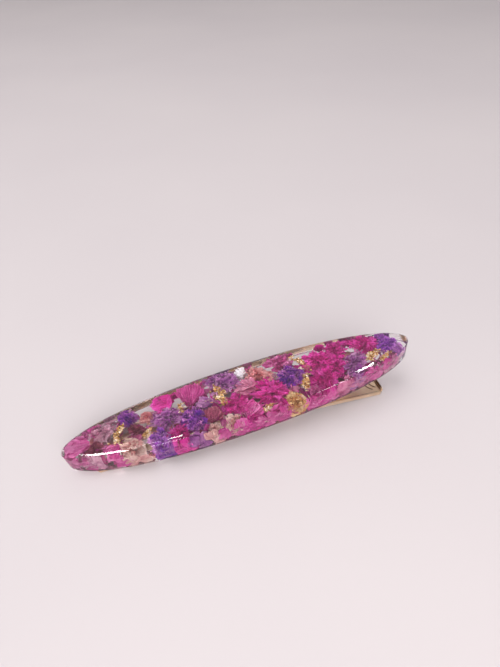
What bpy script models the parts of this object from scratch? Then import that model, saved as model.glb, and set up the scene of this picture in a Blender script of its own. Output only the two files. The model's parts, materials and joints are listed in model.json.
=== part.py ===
"""Hair clip: a clear resin bar full of dried florets, glued on a stamped alligator clip.

Everything is drawn in the bar's own frame (millimetres, bar underside at z = 0, length on X)
and hung on one tilted empty, because the closed clip rests on its jaw tip and its thumb lever.
The lower arm stays put, and the bar with all that is fixed to it turns about the hinge pin.
"""
import bpy
import bmesh
from math import atan2, ceil, cos, hypot, pi, radians, sin, sqrt
from mathutils import Matrix, Vector

MM = 0.001

# Resin bar
BAR_HALF_LENGTH = 42.0
BAR_HALF_WIDTH = 8.5
BAR_THICKNESS = 5.0
BAR_POWER = 2.24          # long ends a little fuller than an ellipse
BAR_ROOT = 0.534
BAR_STEPS = 88            # corners round the outline
EDGE_ROUND = 0.80         # rounding of the face edge
BACK_CHAMFER = 0.25
BAR_DRAFT = 0.25          # the mould narrows towards the back
POUR_LINE = 2.5           # height of the joint between the two pours
POUR_GAP = 0.05           # half of the gap between them

# Flowers
BLOOM_HALF_HEIGHT = 1.65
FLAKE_HALF_HEIGHT = 0.32
POCKET_CLEARANCE = 0.16
BLOOM_GAP = 0.45          # resin between two neighbours
WALL_GAP = 0.75           # resin between a bloom and the side wall

# Clip
SHEET = 0.5               # thickness of the stamped steel
GLUE_TOP = -0.05
GLUE_BOTTOM = -0.30
ARM_TOP = -0.35
ARM_BOTTOM = ARM_TOP - SHEET
ARM_HALF_WIDTH = 3.9
ARM_FRONT = -36.3         # jaw tip
ARM_TAIL = 29.0
PIN_X = 10.0
PIN_Z = -2.45
PIN_RADIUS = 0.75
HOLE_RADIUS = 0.80
HEAD_RADIUS = 1.15
EAR_RADIUS = 1.45
EAR_HALF_LENGTH = 3.6
INNER_EAR_RADIUS = 1.38
INNER_HALF_WIDTH = 3.2
LEVER_START = 14.6
LEVER_END = 34.3
LEVER_START_Z = -4.25
LEVER_END_Z = -7.75
LEVER_NOSE = 0.9          # the last stretch narrows and has no flanges
FLANGE_DEPTH = 0.95
LIP_HEIGHT = 0.55
RIB_HEIGHT = 0.22
WIRE_RADIUS = 0.3
COIL_RADIUS = 1.15
COIL_TURNS = 3
LEG_LENGTH = 9.0

# Side profile of the lower arm's upper surface: x, z, half width
JAW_TOP_Z = ARM_BOTTOM - 0.08
LOWER_STATIONS = (
    (ARM_FRONT, JAW_TOP_Z, 3.1),
    (ARM_FRONT + 0.8, JAW_TOP_Z - 0.02, 3.9),
    (-33.0, -1.08, 3.9),
    (-28.0, -1.55, 3.9),
    (-20.0, -2.35, 3.9),
    (-10.0, -3.15, 3.9),
    (-2.0, -3.65, 3.9),
    (4.6, -3.95, 3.9),
    (5.6, -3.98, INNER_HALF_WIDTH),
    (8.0, -4.05, INNER_HALF_WIDTH),
    (12.4, -4.05, INNER_HALF_WIDTH),
    (LEVER_START - LEVER_NOSE, -4.12, INNER_HALF_WIDTH),
    (LEVER_START, LEVER_START_Z, 3.9),
    (24.0, -5.92, 3.9),
    (LEVER_END - LEVER_NOSE, LEVER_END_Z + 0.16, 3.9),
    (LEVER_END, LEVER_END_Z, 3.3),
)

COLOURS = {
    "resin": ((0.93, 0.90, 0.90), 0.05, 0.0, 0.25),
    "magenta": ((0.62, 0.02, 0.30), 0.6, 0.0, 1.0),
    "pink": ((0.80, 0.12, 0.45), 0.6, 0.0, 1.0),
    "lilac": ((0.55, 0.28, 0.62), 0.6, 0.0, 1.0),
    "violet": ((0.22, 0.09, 0.48), 0.6, 0.0, 1.0),
    "mauve": ((0.62, 0.38, 0.50), 0.6, 0.0, 1.0),
    "plum": ((0.20, 0.04, 0.12), 0.6, 0.0, 1.0),
    "salmon": ((0.78, 0.30, 0.26), 0.6, 0.0, 1.0),
    "cream": ((0.85, 0.66, 0.52), 0.6, 0.0, 1.0),
    "white": ((0.88, 0.84, 0.82), 0.6, 0.0, 1.0),
    "gold_leaf": ((0.90, 0.58, 0.18), 0.25, 1.0, 1.0),
    "glue": ((0.80, 0.78, 0.72), 0.3, 0.0, 1.0),
    "clip_metal": ((0.72, 0.55, 0.34), 0.3, 1.0, 1.0),
    "spring_steel": ((0.60, 0.58, 0.54), 0.3, 1.0, 1.0),
}

# The bouquet, back row to front row: name, shape, colour, x, y, radius, turn in degrees
BOUQUET = (
    ("fan_petal_end_left", "fan", "pink", -38.2, 0.2, 2.6, 105),
    ("bud_wine_end", "bud", "plum", -34.9, -1.3, 1.2, 60),
    ("floret_mauve_end", "floret", "mauve", -33.0, 2.6, 2.3, 10),
    ("petal_pink_front_left", "petal", "pink", -30.6, -3.6, 1.9, 175),
    ("floret_violet_left", "floret", "violet", -26.9, 4.0, 2.3, 35),
    ("petal_plum_left", "petal", "plum", -25.4, -0.3, 1.6, 60),
    ("floret_cream_left", "floret", "cream", -26.8, -4.0, 2.2, 5),
    ("bud_salmon", "bud", "salmon", -22.4, 2.7, 1.3, 20),
    ("floret_purple_front", "floret", "violet", -20.5, -4.6, 2.3, 50),
    ("petal_magenta_rear", "petal", "magenta", -17.8, 4.9, 2.4, 170),
    ("floret_lilac_left", "floret", "lilac", -18.2, 0.4, 2.4, 15),
    ("floret_magenta_front", "floret", "magenta", -16.2, -4.8, 2.2, 70),
    ("fan_petal_rear", "fan", "pink", -12.0, 4.5, 2.9, 80),
    ("floret_violet_mid", "floret", "violet", -12.5, -2.6, 2.4, 40),
    ("petal_lilac_mid", "petal", "lilac", -9.0, 0.6, 2.2, 130),
    ("floret_cream_front", "floret", "cream", -8.9, -6.4, 1.7, 25),
    ("sprig_wine", "petal", "plum", -8.2, -3.3, 1.6, 15),
    ("floret_grey_lilac", "floret", "lilac", -3.4, 5.2, 2.5, 0),
    ("bud_cream", "bud", "cream", -3.9, -6.4, 1.5, 45),
    ("floret_magenta_mid", "floret", "magenta", -2.3, -2.1, 2.3, 30),
    ("petal_mauve_mid", "petal", "mauve", 1.6, 0.9, 2.2, 150),
    ("petal_lilac_front", "petal", "lilac", 0.3, -5.5, 2.3, 200),
    ("petal_white_rear", "petal", "white", 1.3, 6.1, 1.5, 5),
    ("floret_salmon_rear", "floret", "salmon", 4.9, 4.3, 2.4, 20),
    ("floret_magenta_heart", "floret", "magenta", 6.4, -2.5, 2.9, 55),
    ("floret_pink_rear", "floret", "pink", 10.8, 5.6, 2.3, 12),
    ("floret_violet_right", "floret", "violet", 11.9, 0.5, 2.6, 65),
    ("floret_cream_right", "floret", "cream", 10.3, -6.1, 2.3, 38),
    ("petal_pink_front_right", "petal", "pink", 15.5, -6.1, 2.2, 15),
    ("petal_magenta_low", "petal", "magenta", 18.9, -3.1, 2.3, 100),
    ("floret_magenta_right", "floret", "magenta", 19.2, 2.4, 2.7, 28),
    ("floret_magenta_core", "floret", "magenta", 22.9, -0.7, 2.4, 80),
    ("floret_magenta_rear", "floret", "magenta", 24.8, 4.2, 2.6, 48),
    ("floret_lilac_front", "floret", "lilac", 25.6, -5.0, 1.8, 18),
    ("floret_lilac_right", "floret", "lilac", 27.3, -1.6, 2.2, 62),
    ("floret_magenta_tip", "floret", "magenta", 31.9, 2.5, 2.4, 130),
    ("floret_violet_tip", "floret", "violet", 36.6, 0.7, 2.4, 33),
)

# Crumpled gold leaf: name, x, y, radius, turn and lean in degrees
GOLD_LEAF = (
    ("gold_flake_left", -29.4, -0.2, 2.0, 52, 30),
    ("gold_flake_front_left", -22.9, -1.9, 1.3, 15, 30),
    ("gold_flake_left_mid", -14.6, 1.2, 1.5, 100, 34),
    ("gold_flake_mid", -5.3, 1.5, 2.0, 85, 30),
    ("gold_flake_front_mid", 3.9, -6.2, 1.4, 30, 32),
    ("gold_flake_rear", 14.9, 4.4, 1.6, 120, 35),
    ("gold_flake_mid_right", 14.6, -2.5, 1.6, 75, 33),
    ("gold_flake_right", 31.4, -1.6, 1.8, 150, 30),
    ("gold_flake_right_front", 34.6, -2.9, 1.2, 20, 30),
)


# ---------------------------------------------------------------- helpers

def clear_scene():
    for old in list(bpy.data.objects):
        bpy.data.objects.remove(old, do_unlink=True)


def make_material(name):
    colour, roughness, metallic, alpha = COLOURS[name]
    material = bpy.data.materials.new(name)
    material.use_nodes = True
    shader = material.node_tree.nodes["Principled BSDF"]
    shader.inputs["Base Color"].default_value = (*colour, 1.0)
    shader.inputs["Roughness"].default_value = roughness
    shader.inputs["Metallic"].default_value = metallic
    shader.inputs["Alpha"].default_value = alpha
    material.diffuse_color = (*colour, 1.0)
    return material


def add_object(name, bm, material, parent, smooth_angle=None):
    """Turn a bmesh drawn in millimetres into a named object in metres."""
    bmesh.ops.scale(bm, vec=(MM, MM, MM), verts=bm.verts)
    bmesh.ops.recalc_face_normals(bm, faces=bm.faces)
    mesh = bpy.data.meshes.new(name)
    bm.to_mesh(mesh)
    bm.free()
    if smooth_angle is not None:
        mesh.shade_smooth()
        mesh.set_sharp_from_angle(angle=radians(smooth_angle))
    item = bpy.data.objects.new(name, mesh)
    bpy.context.collection.objects.link(item)
    item.parent = parent
    if material is not None:
        mesh.materials.append(MATERIALS[material])
    return item


def add_empty(name, location, parent=None):
    empty = bpy.data.objects.new(name, None)
    empty.location = Vector(location) * MM
    empty.parent = parent
    bpy.context.collection.objects.link(empty)
    return empty


def add_tool(name, bm, parent):
    """A helper solid for a Boolean; it isn't part of the model."""
    tool = add_object(name, bm, None, parent)
    tool.hide_render = True
    tool.display_type = "WIRE"
    return tool


def boolean(target, tool, operation):
    step = target.modifiers.new(tool.name, "BOOLEAN")
    step.operation = operation
    step.solver = "EXACT"
    step.object = tool


def skin_rings(bm, rings, cap_start=True, cap_end=True):
    """Close a tube through equal rings of corners; caps are flat polygons."""
    loops = [[bm.verts.new(corner) for corner in ring] for ring in rings]
    for lower, upper in zip(loops, loops[1:]):
        count = len(lower)
        for i in range(count):
            j = (i + 1) % count
            bm.faces.new((lower[i], lower[j], upper[j], upper[i]))
    if cap_start:
        bm.faces.new(list(reversed(loops[0])))
    if cap_end:
        bm.faces.new(loops[-1])
    return loops


def prism(bm, outline, low, high, axis="Z"):
    """Extrude a flat outline; axis Y reads the outline as x, z."""
    if axis == "Z":
        rings = [[(x, y, level) for x, y in outline] for level in (low, high)]
    else:
        rings = [[(x, level, z) for x, z in outline] for level in (low, high)]
    skin_rings(bm, rings)


def circle(radius, steps, cx=0.0, cy=0.0):
    return [
        (cx + radius * cos(2 * pi * i / steps), cy + radius * sin(2 * pi * i / steps))
        for i in range(steps)
    ]


# ---------------------------------------------------------------- resin bar

def bar_half_width(x, inset=0.0):
    length = BAR_HALF_LENGTH - inset
    share = min(1.0, abs(x) / length)
    return (BAR_HALF_WIDTH - inset) * (1.0 - share ** BAR_POWER) ** BAR_ROOT


def bar_outline(inset):
    """Corners round the bar, evenly turned so that the tight ends stay smooth."""
    length = BAR_HALF_LENGTH - inset
    corners = []
    for i in range(BAR_STEPS):
        turn = 2 * pi * i / BAR_STEPS
        x = length * cos(turn)
        y = bar_half_width(x, inset)
        corners.append((x, y if sin(turn) >= 0 else -y))
    corners[0] = (length, 0.0)
    corners[BAR_STEPS // 2] = (-length, 0.0)
    return corners


def bar_ring(inset, z):
    return [(x, y, z) for x, y in bar_outline(inset)]


def wall_inset(z):
    return BAR_DRAFT * (1.0 - z / BAR_THICKNESS)


def build_front_pour(parent):
    bm = bmesh.new()
    low = POUR_LINE + POUR_GAP
    shoulder = BAR_THICKNESS - EDGE_ROUND
    rings = [bar_ring(wall_inset(low), low), bar_ring(wall_inset(shoulder), shoulder)]
    for step in (1, 2, 3):
        turn = radians(30 * step)
        inset = wall_inset(shoulder) + EDGE_ROUND * (1 - cos(turn))
        rings.append(bar_ring(inset, shoulder + EDGE_ROUND * sin(turn)))
    skin_rings(bm, rings)
    return add_object("resin_front_pour", bm, "resin", parent, 40)


def build_back_pour(parent):
    bm = bmesh.new()
    high = POUR_LINE - POUR_GAP
    rings = [
        bar_ring(wall_inset(0) + BACK_CHAMFER, 0.0),
        bar_ring(wall_inset(BACK_CHAMFER), BACK_CHAMFER),
        bar_ring(wall_inset(high), high),
    ]
    skin_rings(bm, rings)
    return add_object("resin_back_pour", bm, "resin", parent, 40)


# ---------------------------------------------------------------- flowers

def floret_outline(turn):
    return 0.90 + 0.10 * cos(6 * turn)


def bud_outline(turn):
    return 1.0 / sqrt(cos(turn) ** 2 + (sin(turn) / 0.8) ** 2)


def petal_outline(turn):
    return (abs(cos(turn)) ** 1.5 + (abs(sin(turn)) / 0.68) ** 1.5) ** (-1 / 1.5)


def fan_outline(turn):
    """A wedge with a rounded far edge, measured from inside the wedge."""
    spread = radians(44)
    heel = -0.85
    reach = 1.80
    away = atan2(sin(turn), cos(turn))
    arc = heel * cos(away) + sqrt(reach ** 2 - (heel * sin(away)) ** 2)
    side_gap = sin(abs(away)) * cos(spread) - cos(away) * sin(spread)
    side = -heel * sin(spread) / side_gap if side_gap > 1e-6 else 9.0
    return min(1.0, arc, max(0.34, side))


def flake_outline(turn):
    return 0.78 + 0.14 * sin(2 * turn + 0.8) + 0.08 * sin(5 * turn)


OUTLINES = {
    "floret": floret_outline,
    "bud": bud_outline,
    "petal": petal_outline,
    "fan": fan_outline,
    "flake": flake_outline,
}


def bloom_rings(shape, radius, half_height, clearance):
    """Three rings and two poles: a ruffled lump, or the pocket it sits in."""
    steps = 10
    outline = OUTLINES[shape]
    levels = ((0.66, -0.74), (1.0, 0.0), (0.72, 0.70))
    rings = []
    for share, level in levels:
        ring = []
        for i in range(steps):
            turn = 2 * pi * i / steps
            reach = radius * outline(turn) * share + clearance
            ruffle = 0.13 * half_height * (-1) ** i
            height = half_height * level + ruffle + clearance * level * 1.2
            ring.append((reach * cos(turn), reach * sin(turn), height))
        rings.append(ring)
    return rings, half_height + clearance


def add_bloom(bm, shape, radius, half_height, clearance, place):
    rings, pole = bloom_rings(shape, radius, half_height, clearance)
    start = len(bm.verts)
    loops = skin_rings(bm, rings, cap_start=False, cap_end=False)
    for loop, height, flip in ((loops[0], -pole, True), (loops[-1], pole, False)):
        tip = bm.verts.new((0.0, 0.0, height))
        for i in range(len(loop)):
            corner, after = loop[i], loop[(i + 1) % len(loop)]
            bm.faces.new((after, corner, tip) if flip else (corner, after, tip))
    bm.verts.ensure_lookup_table()
    bmesh.ops.transform(bm, matrix=place, verts=bm.verts[start:])


def bloom_list():
    """Every bloom and flake as name, shape, colour, centre, radius, turn, lean."""
    items = [
        [name, shape, colour, x, y, radius, turn, 0.0]
        for name, shape, colour, x, y, radius, turn in BOUQUET
    ]
    items += [
        [name, "flake", "gold_leaf", x, y, radius, turn, lean]
        for name, x, y, radius, turn, lean in GOLD_LEAF
    ]
    # Each one shrinks until it clears the side wall and its neighbours.
    for item in items:
        item[5] = min(item[5], wall_distance(item[3], item[4]) - WALL_GAP)
    for _ in range(4):
        for first in items:
            for second in items:
                if first is second:
                    continue
                apart = hypot(first[3] - second[3], first[4] - second[4]) - BLOOM_GAP
                both = first[5] + second[5]
                if both > apart:
                    first[5] *= apart / both
                    second[5] *= apart / both
    return items


def wall_distance(x, y):
    return min(hypot(x - cx, y - cy) for cx, cy in bar_outline(0.3))


def bloom_place(x, y, turn, lean):
    return (
        Matrix.Translation((x, y, POUR_LINE))
        @ Matrix.Rotation(radians(turn), 4, "Z")
        @ Matrix.Rotation(radians(lean), 4, "X")
    )


def build_flowers(parent, front, back):
    pockets = bmesh.new()
    for name, shape, colour, x, y, radius, turn, lean in bloom_list():
        height = FLAKE_HALF_HEIGHT if shape == "flake" else BLOOM_HALF_HEIGHT
        bm = bmesh.new()
        add_bloom(bm, shape, radius, height, 0.0, Matrix.Rotation(radians(lean), 4, "X"))
        bloom = add_object(name, bm, colour, parent)
        bloom.location = Vector((x, y, POUR_LINE)) * MM
        bloom.rotation_euler = (0.0, 0.0, radians(turn))
        place = bloom_place(x, y, turn, lean)
        add_bloom(pockets, shape, radius, height, POCKET_CLEARANCE, place)
    tool = add_tool("flower_pockets", pockets, parent)
    boolean(front, tool, "DIFFERENCE")
    boolean(back, tool, "DIFFERENCE")


# ---------------------------------------------------------------- clip

def build_glue(parent):
    bm = bmesh.new()
    half_length = 0.5 * (ARM_TAIL - ARM_FRONT) - 2.2
    middle = 0.5 * (ARM_TAIL + ARM_FRONT)
    corners = []
    for i in range(40):
        turn = 2 * pi * i / 40
        x = middle + half_length * cos(turn)
        width = 3.3 * abs(sin(turn)) ** 0.35
        corners.append((x, width if sin(turn) >= 0 else -width))
    prism(bm, corners, GLUE_BOTTOM, GLUE_TOP)
    add_object("glue_bed", bm, "glue", parent, 40)


def ear_outline(radius, half_length, top):
    """A lug that hangs from the sheet and ends in a round nose about the pin."""
    arc = [
        (PIN_X + radius * cos(radians(a)), PIN_Z + radius * sin(radians(a)))
        for a in range(-165, -14, 15)
    ]
    return [(PIN_X - half_length, top), *arc, (PIN_X + half_length, top)]


def pin_hole(name, parent):
    bm = bmesh.new()
    prism(bm, circle(HOLE_RADIUS, 32, PIN_X, PIN_Z), -6.0, 6.0, "Y")
    return add_tool(name, bm, parent)


def build_upper_arm(parent):
    bm = bmesh.new()
    corner = 0.8
    w = ARM_HALF_WIDTH
    outline = [
        (ARM_FRONT + corner, -w),
        (ARM_TAIL - corner, -w),
        (ARM_TAIL, -w + corner),
        (ARM_TAIL, w - corner),
        (ARM_TAIL - corner, w),
        (ARM_FRONT + corner, w),
        (ARM_FRONT, w - corner),
        (ARM_FRONT, -w + corner),
    ]
    prism(bm, outline, ARM_BOTTOM, ARM_TOP)
    arm = add_object("upper_arm", bm, "clip_metal", parent, 35)

    bm = bmesh.new()
    lug = ear_outline(EAR_RADIUS, EAR_HALF_LENGTH, ARM_BOTTOM + 0.5 * SHEET)
    prism(bm, lug, -w, -w + SHEET, "Y")
    prism(bm, lug, w - SHEET, w, "Y")
    boolean(arm, add_tool("upper_ears", bm, parent), "UNION")
    boolean(arm, pin_hole("upper_pin_hole", parent), "DIFFERENCE")


def lever_z(x):
    share = (x - LEVER_START) / (LEVER_END - LEVER_START)
    return LEVER_START_Z + share * (LEVER_END_Z - LEVER_START_Z)


def lever_plate(bm, x0, x1, y0, y1, below, above):
    """A straight strip that follows the lever's slope."""
    rings = []
    for x in (x0, x1):
        z = lever_z(x)
        rings.append([
            (x, y0, z - below), (x, y1, z - below), (x, y1, z + above), (x, y0, z + above),
        ])
    skin_rings(bm, rings)


def grip_rib(bm, x, radius, width):
    """A raised crescent stamped across the thumb end."""
    inner, outer = radius - width, radius
    rings = []
    for i in range(9):
        turn = radians(180 - 56 + 14 * i)
        ring = []
        for reach, above in ((inner, -0.2), (outer, -0.2), (outer, RIB_HEIGHT), (inner, RIB_HEIGHT)):
            px = x + radius + reach * cos(turn)
            ring.append((px, reach * sin(turn), lever_z(px) + above))
        rings.append(ring)
    skin_rings(bm, rings)


def build_lower_arm(parent):
    """Jaw, ears and thumb lever in one stamping."""
    bm = bmesh.new()
    rings = [
        [(x, -w, z - SHEET), (x, w, z - SHEET), (x, w, z), (x, -w, z)]
        for x, z, w in LOWER_STATIONS
    ]
    skin_rings(bm, rings)
    arm = add_object("lower_arm", bm, "clip_metal", parent, 30)

    bm = bmesh.new()
    w = INNER_HALF_WIDTH
    lug = [
        (PIN_X + INNER_EAR_RADIUS * cos(radians(a)), PIN_Z + INNER_EAR_RADIUS * sin(radians(a)))
        for a in range(-15, 196, 15)
    ]
    lug += [(PIN_X - 3.0, -4.3), (PIN_X + 3.0, -4.3)]
    prism(bm, lug, -w, -w + SHEET, "Y")
    prism(bm, lug, w - SHEET, w, "Y")
    boolean(arm, add_tool("lower_ears", bm, parent), "UNION")

    bm = bmesh.new()
    w = ARM_HALF_WIDTH
    end = LEVER_END - LEVER_NOSE
    for y0, y1 in ((-w, -w + 0.45), (w - 0.45, w)):
        lever_plate(bm, LEVER_START + 1.2, end, y0, y1, FLANGE_DEPTH, -0.12)
    boolean(arm, add_tool("lever_flanges", bm, parent), "UNION")

    bm = bmesh.new()
    lever_plate(bm, LEVER_END - 0.45, LEVER_END - 0.02, -3.28, 3.28, 0.25, LIP_HEIGHT)
    boolean(arm, add_tool("lever_lip", bm, parent), "UNION")

    bm = bmesh.new()
    grip_rib(bm, 30.6, 3.1, 0.45)
    grip_rib(bm, 31.9, 2.5, 0.45)
    boolean(arm, add_tool("lever_ribs", bm, parent), "UNION")
    boolean(arm, pin_hole("lower_pin_hole", parent), "DIFFERENCE")


def build_pin(parent):
    """A turned rivet with a low head outside each ear."""
    bm = bmesh.new()
    half = ARM_HALF_WIDTH
    profile = (
        (HEAD_RADIUS - 0.15, -half - 0.40),
        (HEAD_RADIUS, -half - 0.25),
        (HEAD_RADIUS, -half - 0.05),
        (PIN_RADIUS, -half - 0.05),
        (PIN_RADIUS, half + 0.05),
        (HEAD_RADIUS, half + 0.05),
        (HEAD_RADIUS, half + 0.25),
        (HEAD_RADIUS - 0.15, half + 0.40),
    )
    rings = [[(x, y, z) for x, z in circle(radius, 32)] for radius, y in profile]
    skin_rings(bm, rings)
    pin = add_object("hinge_pin", bm, "clip_metal", parent, 35)
    pin.location = Vector((PIN_X, 0.0, PIN_Z)) * MM


def spring_path():
    """Leg under the upper arm, three coils round the pin, leg along the lever."""
    pitch = 2 * WIRE_RADIUS + 0.08
    steps = 16
    width = pitch * (COIL_TURNS + 0.5)
    path = []
    top_end = Vector((LEG_LENGTH, -0.5 * width, ARM_BOTTOM - 0.08 - WIRE_RADIUS - PIN_Z))
    path.append(top_end)
    total = ceil((COIL_TURNS + 0.5) * steps)
    for i in range(total + 1):
        turn = pi / 2 + 2 * pi * i / steps
        y = -0.5 * width + width * i / total
        path.append(Vector((COIL_RADIUS * cos(turn), y, COIL_RADIUS * sin(turn))))
    for x in (LEVER_START - PIN_X, LEG_LENGTH):
        z = lever_z(PIN_X + x) + 0.1 + WIRE_RADIUS - PIN_Z
        path.append(Vector((x, 0.5 * width, z)))
    return path


def build_spring(parent):
    bm = bmesh.new()
    path = spring_path()
    rings = []
    side = Vector((0.0, 1.0, 0.0))
    for i, point in enumerate(path):
        before = path[max(0, i - 1)]
        after = path[min(len(path) - 1, i + 1)]
        along = (after - before).normalized()
        across = (side - along * side.dot(along)).normalized()
        third = along.cross(across)
        rings.append([
            point + WIRE_RADIUS * (across * cos(2 * pi * k / 8) + third * sin(2 * pi * k / 8))
            for k in range(8)
        ])
    skin_rings(bm, rings)
    spring = add_object("torsion_spring", bm, "spring_steel", parent, 60)
    spring.location = Vector((PIN_X, 0.0, PIN_Z)) * MM


# ---------------------------------------------------------------- assembly

clear_scene()
MATERIALS = {name: make_material(name) for name in COLOURS}

# The tilted frame lifts the far end; the lever flanges and the jaw tip then stand at z = 0.
jaw_x, jaw_z = ARM_FRONT, JAW_TOP_Z - SHEET
lever_x = LEVER_END - LEVER_NOSE
tilt = atan2(jaw_z - (lever_z(lever_x) - FLANGE_DEPTH), lever_x - jaw_x)
lift = -(jaw_x * sin(tilt) + jaw_z * cos(tilt))
slide = 0.5 * (BAR_THICKNESS - EDGE_ROUND) * sin(tilt)
clip_frame = add_empty("clip_frame", (slide, 0.0, lift))
clip_frame.rotation_euler = (0.0, -tilt, 0.0)

build_lower_arm(clip_frame)

# Turning bar_pivot about Y opens the clip.
bar_pivot = add_empty("bar_pivot", (PIN_X, 0.0, PIN_Z), clip_frame)
bar_frame = add_empty("bar_frame", (-PIN_X, 0.0, -PIN_Z), bar_pivot)
front_pour = build_front_pour(bar_frame)
back_pour = build_back_pour(bar_frame)
build_flowers(bar_frame, front_pour, back_pour)
build_glue(bar_frame)
build_upper_arm(bar_frame)
build_pin(bar_frame)
build_spring(bar_frame)
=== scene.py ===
"""Looks for the flower hair clip: clear resin bar, dried florets, gold leaf and gold-toned clip."""

import json
from math import atan2, cos, pi, radians, sin

import bmesh
import bpy
import numpy as np
from mathutils import Matrix, Vector

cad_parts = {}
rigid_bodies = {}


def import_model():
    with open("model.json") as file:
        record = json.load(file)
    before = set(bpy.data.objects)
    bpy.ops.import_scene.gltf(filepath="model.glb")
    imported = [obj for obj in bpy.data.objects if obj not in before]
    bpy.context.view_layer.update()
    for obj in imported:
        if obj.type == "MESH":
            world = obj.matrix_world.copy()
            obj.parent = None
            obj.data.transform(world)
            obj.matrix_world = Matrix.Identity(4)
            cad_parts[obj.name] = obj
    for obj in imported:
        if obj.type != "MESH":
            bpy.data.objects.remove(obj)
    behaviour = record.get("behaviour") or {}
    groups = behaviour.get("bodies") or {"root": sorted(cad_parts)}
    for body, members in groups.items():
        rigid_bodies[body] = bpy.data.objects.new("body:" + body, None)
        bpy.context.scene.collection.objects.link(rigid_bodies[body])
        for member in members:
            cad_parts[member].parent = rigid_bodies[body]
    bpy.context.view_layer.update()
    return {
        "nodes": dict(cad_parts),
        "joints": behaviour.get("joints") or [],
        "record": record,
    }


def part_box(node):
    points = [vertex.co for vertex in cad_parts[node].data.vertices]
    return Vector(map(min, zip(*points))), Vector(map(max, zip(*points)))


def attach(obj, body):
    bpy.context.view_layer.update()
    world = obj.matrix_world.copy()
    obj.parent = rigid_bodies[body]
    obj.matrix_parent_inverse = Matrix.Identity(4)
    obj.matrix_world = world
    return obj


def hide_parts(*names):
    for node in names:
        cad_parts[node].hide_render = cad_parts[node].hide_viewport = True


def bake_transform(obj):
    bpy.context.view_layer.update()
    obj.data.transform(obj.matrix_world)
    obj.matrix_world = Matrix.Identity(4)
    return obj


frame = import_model()

MM = 0.001
NODES = frame["nodes"]
JOINT = frame["joints"][0]
LEVER = JOINT["parent"]
BAR = JOINT["child"]

# Sizes are in millimetres in the bar's own frame, whose face is the record's front_face mount.
BAR_HALF_LENGTH = 42.0
BAR_HALF_WIDTH = 8.5
BAR_THICKNESS = 5.0
BAR_POWER = 2.24  # long ends a little fuller than an ellipse
BAR_ROOT = 0.534
BAR_DRAFT = 0.25  # the side wall leans in towards the back
BACK_INSET = 0.40
FOOT = 0.05  # radius of the back edge
CREST = 0.45  # radius of the face edge, up to CREST_TURN
CREST_TURN = radians(64)
DOME = 3.6  # radius of the shoulder between the crest and the flat face
FACE_STEP = 0.12
OUTLINE_STEPS, FOOT_STEPS, CREST_STEPS, DOME_STEPS = 480, 4, 16, 24
POUR_LINE = 2.5
PIN_X, PIN_Z = 10.0, -2.45
ARM_FRONT, ARM_TAIL = -36.3, 29.0
ARM_BOTTOM = -0.85
ARM_HALF_WIDTH = 3.9
LEVER_START, LEVER_END = (14.6, -4.25), (34.3, -7.75)  # x and z of the thumb lever's upper face
LIP_HEIGHT = 0.55
LIP_RADIUS = 0.24
WIRE = 0.3
COIL_RADIUS, COIL_TURNS, COIL_PITCH, COIL_STEPS = 1.15, 3.5, 0.68, 36
SPRING_LEG = 9.0
CRESCENTS = ((30.6, 3.1), (31.9, 2.5))  # where each pressed crescent starts, and its radius
CRESCENT_EDGES = (0.04, -0.49)  # where its two creases lie, out from that radius
CRESCENT_ARC = 58  # degrees to each side of the middle

# Where the random draws start, for each floret, heap of loose petals and flake
FLORET_SEED, LITTER_SEED, FOIL_SEED = 100, 900, 520

face_mount = frame["record"]["mounts"][0]
normal = Vector(face_mount["axis"])
tilt = atan2(-normal.x, normal.z)
TILT = Matrix.Rotation(-tilt, 4, "Y")
BAR_TO_WORLD = (
    Matrix.Translation(Vector(face_mount["pos_m"]))
    @ TILT
    @ Matrix.Translation((0, 0, -BAR_THICKNESS * MM))
    @ Matrix.Diagonal((MM, MM, MM, 1))
)
WORLD_TO_BAR = BAR_TO_WORLD.inverted()


# ---------------------------------------------------------------- materials

def linear(r, g, b):
    """A colour given in display levels of 255, as the shaders want it."""
    def one(c):
        c /= 255.0
        return c / 12.92 if c <= 0.04045 else ((c + 0.055) / 1.055) ** 2.4
    return (one(r), one(g), one(b), 1.0)


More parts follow.
